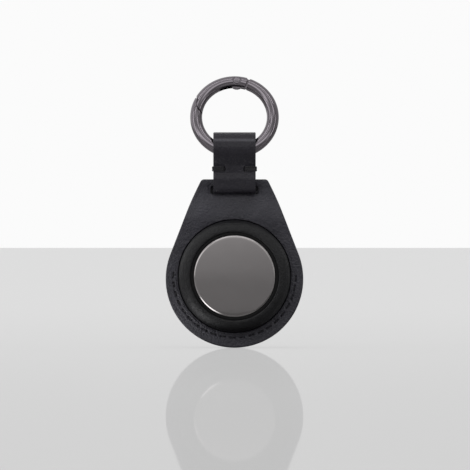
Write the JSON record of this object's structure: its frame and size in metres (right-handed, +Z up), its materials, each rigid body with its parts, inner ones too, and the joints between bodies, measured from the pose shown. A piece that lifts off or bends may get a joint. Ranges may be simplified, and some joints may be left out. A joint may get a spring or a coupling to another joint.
{
  "type": "smart keyring",
  "caption": "Teardrop leather key fob holding a round tracker tag in a moulded raised ring, on a leather strap loop and a round spring-gate ring.",
  "frame": {"origin": "centre of the ring's eye", "axes": "+Z up as the keyring hangs, -Y towards the viewer of its front, +X to the viewer's right"},
  "size_m": [0.0434, 0.0189, 0.0857],
  "materials": {
    "gunmetal": "polished gunmetal plating on zinc alloy",
    "pin_steel": "plated steel, riveted",
    "spring_steel": "bright spring wire",
    "strap_leather": "black finely grained leather",
    "thread": "black waxed thread",
    "panel_leather": "black grained leather with painted edges",
    "moulded_leather": "smooth black leather, hot moulded",
    "white_plastic": "glossy moulded polycarbonate",
    "black_plastic": "fine matt moulded polycarbonate",
    "board": "glass-fibre laminate with dark solder mask",
    "tinned_steel": "tinned sheet",
    "magnet": "nickel plated",
    "copper": "enamelled copper winding",
    "cell_steel": "nickel-plated steel",
    "gasket": "natural nylon",
    "gold_spring": "gold-plated spring strip",
    "cover_steel": "polished dark grey steel"
  },
  "bodies": {
    "ring": {"ring_body": "gunmetal", "gate_pivot_pin": "pin_steel"},
    "gate": {"ring_gate": "gunmetal", "gate_spring": "spring_steel", "gate_plunger": "pin_steel"},
    "strap": {"strap": "strap_leather", "strap_tack_left": "thread", "strap_tack_right": "thread"},
    "fob": {"front_panel": "panel_leather", "rear_panel": "panel_leather", "moulded_pocket": "moulded_leather", "tag_rear_shell": "white_plastic", "tag_frame": "black_plastic", "circuit_board": "board", "shield_can": "tinned_steel", "speaker_magnet": "magnet", "speaker_coil": "copper", "battery_tray": "black_plastic", "coin_cell_can": "cell_steel", "coin_cell_cap": "cell_steel", "coin_cell_gasket": "gasket", "battery_contact_side_1": "gold_spring", "battery_contact_side_2": "gold_spring", "battery_contact_rear": "gold_spring"},
    "cover": {"battery_cover": "cover_steel", "cover_lock_ring": "black_plastic"}
  },
  "joints": [
    {"name": "gate_pivot", "type": "hinge", "parent": "ring", "child": "gate", "pos_m": [0.00074, 0.00484, 0.01107], "axis": [0, -0.9164, 0.4003], "range_deg": [0, 32], "stiffness_Nm_per_rad": 0.02, "springref_deg": -34.38},
    {"name": "strap_swing", "type": "hinge", "parent": "ring", "child": "strap", "pos_m": [0, -0.00446, -0.01022], "axis": [1, 0, 0], "range_deg": [-135, 70]},
    {"name": "fob_tilt", "type": "hinge", "parent": "strap", "child": "fob", "pos_m": [0, -0.00346, -0.02305], "axis": [1, 0, 0], "range_deg": [-6, 0]},
    {"name": "cover_twist", "type": "hinge", "parent": "fob", "child": "cover", "pos_m": [0, -0.00346, -0.05015], "axis": [0, -1, 0], "range_deg": [0, 25]}
  ]
}
